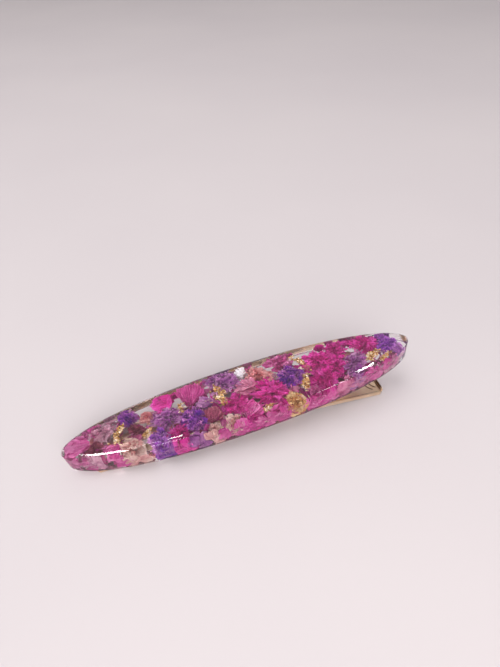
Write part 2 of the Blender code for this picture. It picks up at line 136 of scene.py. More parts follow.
class Nodes:
    """A short way to write a node tree."""

    def __init__(self, name):
        self.material = bpy.data.materials.new(name)
        self.material.use_nodes = True
        self.tree = self.material.node_tree
        self.shader = self.tree.nodes["Principled BSDF"]
        self.output = self.tree.nodes["Material Output"]

    def add(self, kind, **values):
        node = self.tree.nodes.new(kind)
        for key, value in values.items():
            setattr(node, key, value)
        return node

    def link(self, start, end):
        self.tree.links.new(start, end)

    def set(self, **values):
        for key, value in values.items():
            self.shader.inputs[key.replace("_", " ")].default_value = value

    def ramp(self, factor, stops):
        node = self.add("ShaderNodeValToRGB")
        while len(node.color_ramp.elements) < len(stops):
            node.color_ramp.elements.new(0.5)
        for element, (place, colour) in zip(node.color_ramp.elements, stops):
            element.position = place
            element.color = colour
        self.link(factor, node.inputs["Fac"])
        return node.outputs["Color"]

    def noise(self, vector, scale, detail=3.0, roughness=0.6):
        node = self.add("ShaderNodeTexNoise")
        node.inputs["Scale"].default_value = scale
        node.inputs["Detail"].default_value = detail
        node.inputs["Roughness"].default_value = roughness
        self.link(vector, node.inputs["Vector"])
        return node.outputs["Fac"]

    def math(self, kind, a, b):
        node = self.add("ShaderNodeMath", operation=kind)
        for socket, value in zip(node.inputs, (a, b)):
            if isinstance(value, (int, float)):
                socket.default_value = value
            else:
                self.link(value, socket)
        return node.outputs[0]

    def mix(self, factor, first, second):
        """The surface is a mix of two shaders."""
        node = self.add("ShaderNodeMixShader")
        if isinstance(factor, float):
            node.inputs["Fac"].default_value = factor
        else:
            self.link(factor, node.inputs["Fac"])
        self.link(first, node.inputs[1])
        self.link(second, node.inputs[2])
        self.link(node.outputs["Shader"], self.output.inputs["Surface"])

    def bump(self, height, strength, distance):
        node = self.add("ShaderNodeBump")
        node.inputs["Strength"].default_value = strength
        node.inputs["Distance"].default_value = distance
        self.link(height, node.inputs["Height"])
        self.link(node.outputs["Normal"], self.shader.inputs["Normal"])


def resin_material():
    """Clear cast epoxy, a little rosy, that lets light pass straight through to the flowers."""
    n = Nodes("clear_resin")
    n.set(Base_Color=(0.996, 0.985, 0.988, 1), Roughness=0.01, IOR=1.5)
    n.shader.inputs["Transmission Weight"].default_value = 1.0
    path = n.add("ShaderNodeLightPath")
    clear = n.add("ShaderNodeBsdfTransparent")
    clear.inputs["Color"].default_value = (0.985, 0.96, 0.968, 1)
    n.mix(path.outputs["Is Shadow Ray"], n.shader.outputs["BSDF"], clear.outputs["BSDF"])
    return n.material


# Dried-petal colours: the heart and veins, the body, and the papery tips.
PALETTE = {
    "magenta": (linear(140, 0, 92), linear(216, 16, 154), linear(242, 96, 202)),
    "pink": (linear(160, 20, 108), linear(214, 74, 162), linear(242, 156, 210)),
    "rose": (linear(150, 40, 100), linear(206, 104, 154), linear(236, 170, 198)),
    "violet": (linear(74, 8, 150), linear(136, 36, 168), linear(220, 138, 206)),
    "purple": (linear(100, 24, 162), linear(164, 76, 190), linear(228, 166, 222)),
    "lilac": (linear(118, 34, 128), linear(172, 90, 168), linear(232, 182, 220)),
    "mauve": (linear(146, 74, 116), linear(210, 146, 178), linear(242, 206, 220)),
    "plum": (linear(94, 22, 56), linear(150, 52, 92), linear(196, 112, 134)),
    "salmon": (linear(176, 72, 90), linear(226, 138, 146), linear(246, 200, 196)),
    "cream": (linear(190, 108, 120), linear(230, 180, 176), linear(252, 232, 222)),
    "honey": (linear(168, 98, 60), linear(224, 170, 108), linear(252, 230, 180)),
    "white": (linear(206, 198, 204), linear(236, 230, 234), linear(250, 248, 250)),
}


def petal_material(name):
    """Papery petal: veins from base to tip, a deeper heart, pale tips and a tint per petal."""
    dark, middle, light = PALETTE[name]
    n = Nodes("petal_" + name)
    uv = n.add("ShaderNodeUVMap", uv_map="UVMap").outputs["UV"]
    stretch = n.add("ShaderNodeMapping")
    stretch.inputs["Scale"].default_value = (15.0, 1.2, 1.0)
    n.link(uv, stretch.inputs["Vector"])
    vein = n.noise(stretch.outputs["Vector"], 1.0, 3.0, 0.7)
    place = n.add("ShaderNodeTexCoord").outputs["Object"]
    blotch = n.noise(place, 1100.0, 3.0, 0.65)
    parts = n.add("ShaderNodeSeparateXYZ")
    n.link(uv, parts.inputs["Vector"])
    tint = n.add("ShaderNodeVertexColor", layer_name="tint")
    tone = n.math("MULTIPLY", vein, 0.95)
    tone = n.math("ADD", tone, n.math("MULTIPLY", blotch, 0.45))
    tone = n.math("ADD", tone, n.math("MULTIPLY", parts.outputs["Y"], 0.20))
    tone = n.math("ADD", tone, n.math("MULTIPLY", tint.outputs["Color"], 0.44))
    tone = n.math("SUBTRACT", tone, 0.50)
    colour = n.ramp(tone, ((0.18, dark), (0.46, middle), (0.82, light)))
    n.link(colour, n.shader.inputs["Base Color"])
    n.set(Roughness=0.55)
    n.shader.inputs["Specular IOR Level"].default_value = 0.3
    n.bump(vein, 0.4, 0.0001)
    glow = n.add("ShaderNodeBsdfTranslucent")
    n.link(colour, glow.inputs["Color"])
    n.mix(0.50, n.shader.outputs["BSDF"], glow.outputs["BSDF"])
    return n.material


def foil_material():
    """Crumpled leaf: pale gold, with painted glints in near white and painted crease shade in dark brown,
    both laid by noise.
    """
    n = Nodes("gold_foil")
    place = n.add("ShaderNodeTexCoord").outputs["Object"]
    glint_and_shade_noise = n.noise(place, 1300.0, 4.0, 0.7)
    # The ramp's near-white end is painted glint and its dark brown end painted crease shade; the same noise
    # sets the roughness.
    stops = ((0.36, linear(124, 78, 36)), (0.48, linear(224, 180, 104)), (0.58, linear(255, 250, 228)))
    n.link(n.ramp(glint_and_shade_noise, stops), n.shader.inputs["Base Color"])
    rough = n.ramp(glint_and_shade_noise, ((0.3, (0.40, 0.40, 0.40, 1)), (0.7, (0.18, 0.18, 0.18, 1))))
    n.link(rough, n.shader.inputs["Roughness"])
    n.set(Metallic=0.8)
    n.bump(n.noise(place, 3200.0, 4.0, 0.7), 0.5, 0.00006)
    return n.material


def clip_material():
    """Pale gold plating, lightly brushed along the clip."""
    n = Nodes("clip_gold")
    place = n.add("ShaderNodeTexCoord").outputs["Object"]
    stretch = n.add("ShaderNodeMapping")
    stretch.inputs["Scale"].default_value = (120.0, 2600.0, 2600.0)
    n.link(place, stretch.inputs["Vector"])
    brush = n.noise(stretch.outputs["Vector"], 1.0, 3.0, 0.6)
    cloud = n.noise(place, 140.0, 3.0, 0.6)
    colour = n.ramp(cloud, ((0.30, linear(224, 196, 166)), (0.70, linear(240, 214, 186))))
    n.link(colour, n.shader.inputs["Base Color"])
    rough = n.ramp(brush, ((0.2, (0.26, 0.26, 0.26, 1)), (0.8, (0.42, 0.42, 0.42, 1))))
    n.link(rough, n.shader.inputs["Roughness"])
    n.set(Metallic=0.88)
    n.bump(brush, 0.14, 0.00002)
    return n.material


def painted_shade_material():
    """Dark brown plating: painted shade where the tool has pressed or sheared the steel, in the creases,
    along the folds and on the lip.
    """
    n = Nodes("clip_painted_shade")
    place = n.add("ShaderNodeTexCoord").outputs["Object"]
    grain = n.noise(place, 1200.0, 3.0, 0.6)
    # Dark brown to brown: painted shade, with a grain that varies at random.
    colour = n.ramp(grain, ((0.3, linear(62, 36, 26)), (0.7, linear(112, 76, 56))))
    n.link(colour, n.shader.inputs["Base Color"])
    n.set(Metallic=0.7, Roughness=0.45)
    n.bump(grain, 0.2, 0.00003)
    return n.material


def wire_material():
    """Drawn spring wire."""
    n = Nodes("spring_wire")
    place = n.add("ShaderNodeTexCoord").outputs["Object"]
    grain = n.noise(place, 1500.0, 3.0, 0.6)
    colour = n.ramp(grain, ((0.3, linear(166, 160, 152)), (0.7, linear(204, 198, 190))))
    n.link(colour, n.shader.inputs["Base Color"])
    n.set(Metallic=1.0, Roughness=0.27)
    n.bump(grain, 0.1, 0.00002)
    return n.material


def glue_material():
    """Cured glue with a wavy skin."""
    n = Nodes("cured_glue")
    place = n.add("ShaderNodeTexCoord").outputs["Object"]
    cloud = n.noise(place, 320.0, 3.0, 0.6)
    colour = n.ramp(cloud, ((0.3, linear(216, 204, 196)), (0.7, linear(238, 230, 224))))
    n.link(colour, n.shader.inputs["Base Color"])
    n.set(Roughness=0.22)
    n.bump(cloud, 0.3, 0.0002)
    return n.material


def floor_material():
    """Plain pale matte floor."""
    n = Nodes("pale_floor")
    place = n.add("ShaderNodeTexCoord").outputs["Object"]
    cloud = n.noise(place, 6.0, 3.0, 0.5)
    colour = n.ramp(cloud, ((0.3, linear(188, 180, 182)), (0.7, linear(193, 185, 186))))
    n.link(colour, n.shader.inputs["Base Color"])
    n.set(Roughness=0.85)
    n.shader.inputs["Specular IOR Level"].default_value = 0.2
    return n.material


# ---------------------------------------------------------------- mesh helpers

def new_object(name, mesh):
    item = bpy.data.objects.new(name, mesh)
    bpy.context.collection.objects.link(item)
    return item


class Sheets:
    """Collects gridded surfaces, in the bar's millimetres, into one mesh with UVs and tints."""

    def __init__(self):
        self.points = []
        self.faces = []
        self.uvs = []
        self.tints = []
        self.count = 0

    def grid(self, points, closed=False, tint=0.5):
        """points: rows by columns by 3; closed joins the last column to the first."""
        rows, columns = points.shape[:2]
        self.points.append(points.reshape(-1, 3))
        self.tints.append(np.full(rows * columns, tint))
        last = columns if closed else columns - 1
        for r in range(rows - 1):
            for c in range(last):
                d = (c + 1) % columns
                corners = ((r, c, c), (r, d, c + 1), (r + 1, d, c + 1), (r + 1, c, c))
                self.faces.append([self.count + i * columns + j for i, j, _ in corners])
                self.uvs += [(k / last, i / (rows - 1)) for i, _, k in corners]
        self.count += rows * columns

    def build(self, name, material, keep_inside=True, smooth=True):
        points = np.concatenate(self.points)
        if keep_inside:
            points = inside_bar(points)
        mesh = bpy.data.meshes.new(name)
        mesh.from_pydata(points.tolist(), [], self.faces)
        layer = mesh.uv_layers.new(name="UVMap")
        layer.data.foreach_set("uv", np.array(self.uvs, float).ravel())
        tint = mesh.color_attributes.new(name="tint", type="FLOAT_COLOR", domain="POINT")
        values = np.concatenate(self.tints)
        tint.data.foreach_set("color", np.repeat(values[:, None], 4, 1).ravel())
        mesh.transform(BAR_TO_WORLD)
        if smooth:
            mesh.shade_smooth()
        mesh.materials.append(material)
        return new_object(name, mesh)


# The height of the bed of petals, and how far it reaches up and down
BED_MIDDLE, BED_REACH = 2.42, 2.32
END_CLEARANCE = 0.65
# How far the petals keep from the side wall, by height: less where the wall is upright
WALL_HEIGHTS, WALL_CLEARANCES = (0.0, 4.0, 4.7), (0.14, -0.03, 0.36)


def half_width(x, inset=0.0):
    """Half the bar's width at x, with the whole outline drawn in by inset."""
    share = np.clip(np.abs(x) / (BAR_HALF_LENGTH - inset), 0.0, 1.0)
    return (BAR_HALF_WIDTH - inset) * (1.0 - share ** BAR_POWER) ** BAR_ROOT


def soft_limit(value, limit, ease=0.8):
    """Leaves small values alone and folds large ones under the limit."""
    size = np.abs(value)
    knee = limit * ease
    room = np.maximum(limit - knee, 1e-6)
    folded = knee + room * np.tanh((size - knee) / room)
    return np.sign(value) * np.where(size > knee, folded, size)


def inside_bar(points):
    """Petals are pressed flat against the inside of the resin, never through it."""
    out = points.copy()
    out[:, 2] = BED_MIDDLE + soft_limit(out[:, 2] - BED_MIDDLE, BED_REACH)
    out[:, 0] = soft_limit(out[:, 0], BAR_HALF_LENGTH - END_CLEARANCE, 0.96)
    clearance = np.interp(out[:, 2], WALL_HEIGHTS, WALL_CLEARANCES)
    out[:, 1] = soft_limit(out[:, 1], np.maximum(half_width(out[:, 0], BAR_DRAFT) - clearance, 0.1))
    return out


def turned(points, lean, roll, turn, centre):
    """Leans a surface that points along +X, rolls it, turns it about Z and places it."""
    place = (
        Matrix.Rotation(turn, 3, "Z")
        @ Matrix.Rotation(-lean, 3, "Y")
        @ Matrix.Rotation(roll, 3, "X")
    )
    return points @ np.array(place).T + np.array(centre)


# ---------------------------------------------------------------- petals and florets

def petal_points(rng, length, width, ruffle, curl, ribs, rows=10, columns=19, fringe=1.0):
    """A papery petal along +X that widens to a frilled far edge."""
    v, u = np.meshgrid(np.linspace(0, 1, rows), np.linspace(-1, 1, columns), indexing="ij")
    phase = rng.uniform(0, 2 * pi, 6)
    spread = 0.10 + 0.90 * np.sin(v * pi * 0.56) ** 0.85
    frill = 0.05 * np.sin(5 * u + phase[0]) + 0.05 * fringe * np.sin(13 * u + phase[1])
    frill += 0.05 * fringe * np.sin(24 * u + phase[5])
    x = length * (v * (1 - 0.30 * u ** 2 * v) + frill * v ** 3)
    y = width * spread * u
    wave = 0.50 * np.sin(3.1 * u + phase[2]) + 0.45 * np.sin(7.3 * u + phase[3] + 2.5 * v)
    wave += 0.35 * v * np.sin(14 * u + phase[5] - 3 * v)
    z = ruffle * wave * v ** 1.4 + curl * v ** 2 + 0.30 * width * u ** 2 * (1 - 0.4 * v)
    z += 0.05 * ribs * np.sin(ribs * pi * u) * v ** 0.7
    z += 0.05 * np.sin(23 * u + phase[4]) * v ** 2
    return np.stack([x, y, z], -1)


def funnel_points(rng, radius, height, rows=6, columns=30):
    """A small papery trumpet with a five-lobed frilled rim."""
    v, t = np.meshgrid(
        np.linspace(0, 1, rows), np.linspace(0, 2 * pi, columns, endpoint=False), indexing="ij"
    )
    phase = rng.uniform(0, 2 * pi, 3)
    flare = 0.14 + 0.86 * v ** 1.5
    rim = 1 + 0.20 * v ** 2 * np.cos(5 * t + phase[0]) + 0.10 * v ** 3 * np.cos(11 * t + phase[1])
    reach = radius * flare * rim
    z = height * v ** 0.85 + 0.18 * radius * v ** 3 * np.sin(10 * t + phase[2])
    return np.stack([reach * np.cos(t), reach * np.sin(t), z], -1)


def strand_points(rng, length, width, bend, rows=7):
    """A single thin papery thread along +X."""
    v = np.linspace(0, 1, rows)
    phase = rng.uniform(0, 2 * pi, 2)
    y = bend * v ** 2 + 0.05 * length * np.sin(5 * v + phase[0])
    z = 0.10 * length * np.sin(4 * v + phase[1]) * v
    half = 0.5 * width * (1 - 0.7 * v)
    return np.stack([
        np.stack([length * v, y + side * half, z], -1) for side in (-1, 1)
    ], 1)


class Floret:
    """One flower head, squeezed out of round and a little off its middle."""

    def __init__(self, sheets, rng, x, y, radius):
        self.sheets, self.rng, self.radius = sheets, rng, radius
        self.x, self.y = x, y
        self.squeeze = Matrix.Rotation(rng.uniform(0, pi), 3, "Z")
        self.aspect = rng.uniform(0.74, 1.0)

    def place(self, points, lean, roll, turn, away=0.0, lift=0.0, tint=0.5, closed=False):
        centre = (away * cos(turn), away * sin(turn), lift)
        out = turned(points, lean, roll, turn, centre)
        squeeze = np.array(self.squeeze)
        out = (out @ squeeze * np.array((1, self.aspect, 1))) @ squeeze.T
        self.sheets.grid(out + np.array((self.x, self.y, POUR_LINE)), closed, tint)

    def whorl(self, count, reach, wide, lean, lift, tints, ruffle=0.16, ribs=5):
        """One ring of petals, some of them folded under."""
        rng = self.rng
        start = rng.uniform(0, 2 * pi)
        for i in range(count):
            turn = start + 2 * pi * i / count + rng.normal(0, 0.3)
            length = self.radius * reach * rng.uniform(0.72, 1.18)
            points = petal_points(
                rng, length, wide * length, ruffle * self.radius, rng.uniform(-0.3, 0.5), ribs
            )
            under = rng.uniform() < 0.28
            tilt_up = (-0.4 if under else 1.0) * lean + rng.normal(0, 0.18)
            self.place(
                points, tilt_up, rng.normal(0, 0.5), turn,
                away=rng.uniform(0, 0.16) * self.radius, lift=lift, tint=rng.uniform(*tints),
            )

    def threads(self, count, reach, width=0.09, tints=(0.6, 1.0)):
        """Fine papery threads at all angles."""
        rng = self.rng
        for _ in range(count):
            length = self.radius * reach * rng.uniform(0.7, 1.15)
            points = strand_points(rng, length, width, rng.normal(0, 0.25) * length)
            self.place(
                points, rng.uniform(-0.2, 0.9), rng.uniform(0, pi), rng.uniform(0, 2 * pi),
                lift=rng.uniform(0.2, 1.2), tint=rng.uniform(*tints),
            )

    def trumpets(self, count, reach, tints):
        """Small trumpets set round in the golden spiral."""
        rng = self.rng
        for i in range(count):
            turn = 2.4 * i + rng.normal(0, 0.4)
            away = self.radius * reach * np.sqrt((i + 0.3) / count)
            size = self.radius * rng.uniform(0.20, 0.34)
            points = funnel_points(rng, size, size * 1.3) @ np.array(Matrix.Rotation(pi / 2, 3, "Y")).T
            lean = pi / 2 - 0.9 * away / (self.radius * 0.7) + rng.normal(0, 0.3)
            self.place(
                points, lean, 0, turn, away, rng.uniform(-0.2, 1.3), rng.uniform(*tints), closed=True
            )


def ruffle_floret(floret):
    """Many short crumpled petals, deep at the heart, with paler tips and threads."""
    floret.whorl(16, 1.08, 0.24, 0.02, -0.1, (0.20, 1.0), ruffle=0.2)
    floret.whorl(15, 0.92, 0.25, 0.40, 0.3, (0.10, 0.95), ruffle=0.2)
    floret.whorl(12, 0.70, 0.28, 0.80, 0.6, (0.0, 0.9), ruffle=0.2)
    floret.whorl(8, 0.45, 0.36, 1.15, 0.9, (0.0, 0.8), ruffle=0.2)
    floret.threads(26, 1.05)


def statice_floret(floret):
    """Papery outer ruffs with small deep trumpets crowded in the middle."""
    floret.whorl(12, 1.08, 0.30, 0.05, -0.2, (0.55, 1.0), ruffle=0.22)
    floret.whorl(11, 0.85, 0.30, 0.45, 0.3, (0.30, 1.0), ruffle=0.22)
    floret.trumpets(24, 0.66, (0.0, 0.60))
    floret.threads(18, 0.95, tints=(0.0, 1.0))


def straw_floret(floret):
    """A pale cup of overlapping papery bracts."""
    floret.whorl(12, 1.0, 0.40, 0.10, -0.2, (0.35, 1.0), ruffle=0.16, ribs=7)
    floret.whorl(11, 0.80, 0.40, 0.50, 0.2, (0.10, 1.0), ruffle=0.16)
    floret.whorl(9, 0.56, 0.42, 0.95, 0.5, (0.0, 0.8), ruffle=0.16)
    floret.threads(16, 0.75, tints=(0.0, 0.3))


def broad_petals(floret, turn, count=3, ribs=9, spread=0.5, tints=(0.2, 0.95)):
    """A few broad ribbed petals from one heel, lying almost flat."""
    rng, radius = floret.rng, floret.radius
    floret.aspect = 1.0
    for i in range(count):
        swing = turn + (i - 0.5 * (count - 1)) * spread + rng.normal(0, 0.08)
        length = radius * rng.uniform(1.55, 1.9)
        width = rng.uniform(0.5, 0.66) * length
        points = petal_points(
            rng, length, width, 0.12 * radius, rng.uniform(0.1, 0.5), ribs, rows=12, columns=33
        )
        floret.place(
            points, rng.uniform(-0.1, 0.28), rng.normal(0, 0.35), swing,
            away=-0.8 * radius, lift=0.1 + 0.4 * i, tint=rng.uniform(*tints),
        )
    floret.threads(14, 1.25)


def colour_of(name):
    """The dye that the node's name speaks of."""
    for word in name.split("_"):
        if word in PALETTE:
            return word
    return "plum" if "wine" in name else "pink"


# How wide a floret opens compared with its solid: the usual, and where it differs
OPEN = 1.85
SPREAD = {
    "floret_violet_tip": 1.4, "floret_violet_right": 1.6, "fan_petal_rear": 1.7, "petal_white_rear": 1.3,
}
# Florets whose dye is a shade off the one in their name
REPAINTED = {
    "floret_cream_right": "honey", "floret_violet_tip": "purple", "petal_lilac_front": "pink",
    "petal_mauve_mid": "rose",
}
# Petals crumpled into a tuft
TUFTS = ("petal_magenta_low", "petal_pink_front_right", "petal_plum_left")
# Which way the broad petals point, in degrees from +X
TURNS = {
    "fan_petal_end_left": 165, "fan_petal_rear": 80, "petal_magenta_rear": 200,
    "petal_pink_front_left": 200, "petal_lilac_mid": 120, "sprig_wine": 75, "petal_mauve_mid": 150,
    "petal_lilac_front": 20, "petal_white_rear": 5,
}


def build_florets(materials):
    """Each floret, petal, bud and sprig in the place of its solid."""
    for index, name in enumerate(sorted(NODES)):
        kind = name.split("_")[0]
        if kind not in ("fan", "floret", "petal", "bud", "sprig"):
            continue
        low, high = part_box(name)
        middle = WORLD_TO_BAR @ ((low + high) / 2)
        size = high - low
        radius = SPREAD.get(name, OPEN) * 0.25 * (size.x + size.y) / MM
        colour = REPAINTED.get(name, colour_of(name))
        sheets = Sheets()
        floret = Floret(sheets, np.random.default_rng(FLORET_SEED + index), middle.x, middle.y, radius)
        turn = radians(TURNS.get(name, 0))
        if kind == "fan":
            broad_petals(floret, turn, 2, 11, 0.34, (0.0, 0.6) if "rear" in name else (0.75, 1.25))
        elif colour == "white":
            broad_petals(floret, turn, 4, 5, 1.2, (0.5, 1.0))
        elif kind in ("petal", "sprig") and name not in TUFTS:
            broad_petals(floret, turn, 3, 7)
        elif kind == "bud" or colour in ("cream", "honey", "salmon", "mauve", "rose"):
            straw_floret(floret)
        elif colour in ("violet", "purple", "lilac"):
            statice_floret(floret)
        else:
            ruffle_floret(floret)
        piece = sheets.build("dried_" + name, materials[colour])
        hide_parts(name)
        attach(piece, BAR)


# Places with nothing in the resin: x, y and radius
CLEARINGS = (
    (-22.3, 5.8, 2.7), (-23.2, -1.2, 1.7), (17.5, 6.4, 2.2), (7.5, 7.2, 1.8), (-31.0, 5.0, 1.6),
    (38.6, 2.4, 1.4), (-4.0, 8.0, 1.3),
)
# Loose petals: colour, how many, and the stretch of the bar they lie in
LITTER = (
    ("magenta", 80, -17, 34), ("pink", 90, -40, 38), ("rose", 40, -38, 36), ("mauve", 30, -38, 38),
    ("lilac", 20, -34, 38), ("plum", 12, -28, 20), ("cream", 12, -30, 14), ("salmon", 12, -26, 20),
)
# Petals pressed on the front wall: colour and the stretch they cover
WALL_BANDS = (
    ("pink", -41.0, -36.0), ("mauve", -37.5, -33.8), ("pink", -31.5, -28.4), ("cream", -28.6, -24.2),
    ("violet", -21.8, -17.6), ("magenta", -18.2, -14.0), ("lilac", -14.2, -11.0),
    ("cream", -10.6, -7.4), ("pink", -8.0, -2.0), ("magenta", -3.4, 2.0), ("pink", 0.0, 9.0),
    ("honey", 8.6, 12.4), ("pink", 12.0, 21.0), ("magenta", 14.0, 19.0), ("rose", 20.0, 29.0),
    ("lilac", 24.0, 27.5), ("pink", 27.0, 36.0), ("mauve", 34.0, 38.5),
)
# The same for the far wall, which is barer
FAR_BANDS = (
    ("pink", -41.0, -33.5), ("mauve", -34.0, -29.0), ("magenta", -19.5, -14.5), ("pink", -14.5, -8.0),
    ("lilac", -8.5, -1.0), ("rose", -1.0, 5.0), ("pink", 8.5, 14.0), ("magenta", 20.5, 30.0),
    ("pink", 28.0, 34.0), ("violet", 34.0, 38.0),
)


def build_litter(materials):
    """Loose petals that fill the bed under and between the florets and lie on the walls."""
    heaps = {}

    def heap(colour):
        if colour not in heaps:
            heaps[colour] = (Sheets(), np.random.default_rng(LITTER_SEED + len(heaps)))
        return heaps[colour]

    for colour, count, start, end in LITTER:
        sheets, rng = heap(colour)
        placed = 0
        while placed < count:
            x = rng.uniform(start, end)
            y = rng.uniform(-1, 1) * (half_width(x) - 1.0)
            if any((x - cx) ** 2 + (y - cy) ** 2 < reach ** 2 for cx, cy, reach in CLEARINGS):
                continue
            placed += 1
            length = rng.uniform(1.4, 3.0)
            points = petal_points(rng, length, 0.42 * length, 0.24, rng.uniform(-0.3, 0.4), 6)
            points = points - np.array((0.5 * length, 0, 0))
            centre = (x, y, rng.uniform(0.7, 3.0))
            sheets.grid(
                turned(points, rng.normal(0, 0.5), rng.normal(0, 0.8), rng.uniform(0, 2 * pi), centre),
                tint=rng.uniform(0.0, 1.0),
            )

    for side, per_millimetre, bands in ((-1, 2.4, WALL_BANDS), (1, 0.9, FAR_BANDS)):
        for colour, start, end in bands:
            sheets, rng = heap(colour)
            for _ in range(round((end - start) * per_millimetre)):
                x = rng.uniform(start, end)
                length = rng.uniform(2.0, 3.4)
                points = petal_points(rng, length, 0.45 * length, 0.16, rng.uniform(-0.2, 0.2), 7)
                points = points - np.array((0.5 * length, 0, 0))
                spin = Matrix.Rotation(rng.uniform(0, 2 * pi), 3, "Z")
                stand = Matrix.Rotation(radians(90) + rng.normal(0, 0.35), 3, "X")
                slope = (half_width(x + 0.2) - half_width(x - 0.2)) / 0.4
                along = Matrix.Rotation(atan2(side * slope, 1.0), 3, "Z")
                points = points @ np.array(along @ stand @ spin).T
                y = side * max(half_width(x) - rng.uniform(0.7, 1.5), 0.2)
                sheets.grid(points + np.array((x, y, rng.uniform(0.7, 3.3))), tint=rng.uniform(0.0, 0.75))

    for colour, (sheets, _) in heaps.items():
        piece = sheets.build("loose_petals_" + colour, materials[colour])
        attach(piece, BAR)


# Each flake as crumpled scraps strung along a line: length, width and turn in degrees
FOIL = {
    "gold_flake_left": (4.8, 1.5, 62), "gold_flake_front_left": (2.4, 0.9, 40),
    "gold_flake_left_mid": (3.0, 0.9, 95), "gold_flake_mid": (4.8, 2.4, 88),
    "gold_flake_front_mid": (2.2, 0.9, 20), "gold_flake_rear": (3.8, 1.2, 140),
    "gold_flake_mid_right": (5.0, 1.4, 72), "gold_flake_right": (4.4, 1.5, 20),
    "gold_flake_right_front": (3.2, 1.1, 30),
}


def scrap_points(rng, length, width):
    """A torn scrap of leaf, folded sharply this way and that."""
    t = np.linspace(0, 2 * pi, 40, endpoint=False)
    v = np.linspace(0.02, 1, 12)[:, None]
    phase = rng.uniform(0, 2 * pi, 8)
    edge = 1 + 0.20 * np.sin(2 * t + phase[0]) + 0.17 * np.sin(5 * t + phase[1])
    edge += 0.12 * np.sin(9 * t + phase[2]) + 0.07 * np.sin(17 * t + phase[3])
    x = 0.5 * length * v * edge * np.cos(t)
    y = 0.5 * width * v * edge * np.sin(t)
    z = 0.34 * np.abs(np.sin(3.1 * x + 1.3 * y + phase[4]))
    z += 0.30 * np.abs(np.sin(4.4 * y - 1.7 * x + phase[5]))
    z += 0.16 * np.abs(np.sin(8.3 * x + 6.1 * y + phase[6]))
    return np.stack([x, y, z - 0.4], -1)


def build_flakes(material):
    """Each flake is a string of torn, crumpled scraps of leaf."""
    for index, (name, (length, width, turn)) in enumerate(FOIL.items()):
        low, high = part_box(name)
        middle = WORLD_TO_BAR @ ((low + high) / 2)
        rng = np.random.default_rng(FOIL_SEED + index)
        sheets = Sheets()
        turn = radians(turn)
        count = max(3, round(length / width) + 1)
        for scrap in range(count):
            along = (scrap / (count - 1) - 0.5) * 0.72 * length
            size = width * rng.uniform(0.75, 1.2)
            aside = rng.normal(0, 0.12) * width
            centre = (
                middle.x + along * cos(turn) - aside * sin(turn),
                middle.y + along * sin(turn) + aside * cos(turn),
                POUR_LINE + rng.uniform(0.9, 1.6),
            )
            points = scrap_points(rng, 1.5 * size, size)
            sheets.grid(
                turned(points, rng.normal(0, 0.35), rng.normal(0, 0.45), turn + rng.normal(0, 0.7), centre),
                True,
            )
        for _ in range(5):
            along, aside = rng.uniform(-0.7, 0.7) * length, rng.normal(0, 0.8) * width
            centre = (
                middle.x + along * cos(turn) - aside * sin(turn),
                middle.y + along * sin(turn) + aside * cos(turn),
                POUR_LINE + rng.uniform(0.6, 1.8),
            )
            points = scrap_points(rng, 0.7, 0.4)
            sheets.grid(
                turned(points, rng.normal(0, 0.6), rng.normal(0, 0.6), rng.uniform(0, pi), centre), True
            )
        piece = sheets.build("foil_" + name, material, smooth=False)
        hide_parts(name)
        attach(piece, BAR)


# ---------------------------------------------------------------- resin, spring, clip

def bar_ring(inset, z):
    """The bar's outline at one height."""
    t = 2 * pi * np.arange(OUTLINE_STEPS) / OUTLINE_STEPS
    x = (BAR_HALF_LENGTH - inset) * np.cos(t)
    y = np.where(np.sin(t) >= 0, 1, -1) * half_width(x, inset)
    y[0] = y[OUTLINE_STEPS // 2] = 0.0
    return np.stack([x, y, np.full(OUTLINE_STEPS, z)], -1)


def build_resin(material):
    """The whole casting: draft on the wall, a rounded face edge and a flat polished face."""
    rings = [(BAR_DRAFT + BACK_INSET, 0.0)]
    for step in range(FOOT_STEPS + 1):
        turn = radians(90 * step / FOOT_STEPS)
        rings.append((BAR_DRAFT + FOOT * (1 - sin(turn)), FOOT * (1 - cos(turn))))
    # The face edge, as turns of the surface: a tight crest and then a long soft shoulder.
    shoulder = BAR_THICKNESS - CREST * sin(CREST_TURN) - DOME * (1 - sin(CREST_TURN))
    for share in (0.35, 0.7):
        rings.append((BAR_DRAFT * (1 - share), FOOT + share * (shoulder - FOOT)))
    for step in range(CREST_STEPS + 1):
        turn = CREST_TURN * step / CREST_STEPS
        rings.append((CREST * (1 - cos(turn)), shoulder + CREST * sin(turn)))
    inset, height = rings[-1]
    for step in range(1, DOME_STEPS + 1):
        turn = CREST_TURN + (pi / 2 - CREST_TURN) * step / DOME_STEPS
        rings.append((
            inset + DOME * (cos(CREST_TURN) - cos(turn)), height + DOME * (sin(turn) - sin(CREST_TURN)),
        ))
    rings.append((rings[-1][0] + FACE_STEP, BAR_THICKNESS))
    bm = bmesh.new()
    loops = [[bm.verts.new(p) for p in bar_ring(inset, z)] for inset, z in rings]
    for a, b in zip(loops, loops[1:]):
        for i in range(len(a)):
            j = (i + 1) % len(a)
            bm.faces.new((a[i], a[j], b[j], b[i])).smooth = True
    for loop in (list(reversed(loops[0])), loops[-1]):
        bm.faces.new(loop)
    bmesh.ops.recalc_face_normals(bm, faces=bm.faces)
    mesh = bpy.data.meshes.new("resin_casting")
    bm.to_mesh(mesh)
    bm.free()
    mesh.transform(BAR_TO_WORLD)
    mesh.materials.append(material)
    piece = new_object("resin_casting", mesh)
    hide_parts("resin_front_pour", "resin_back_pour")
    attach(piece, BAR)


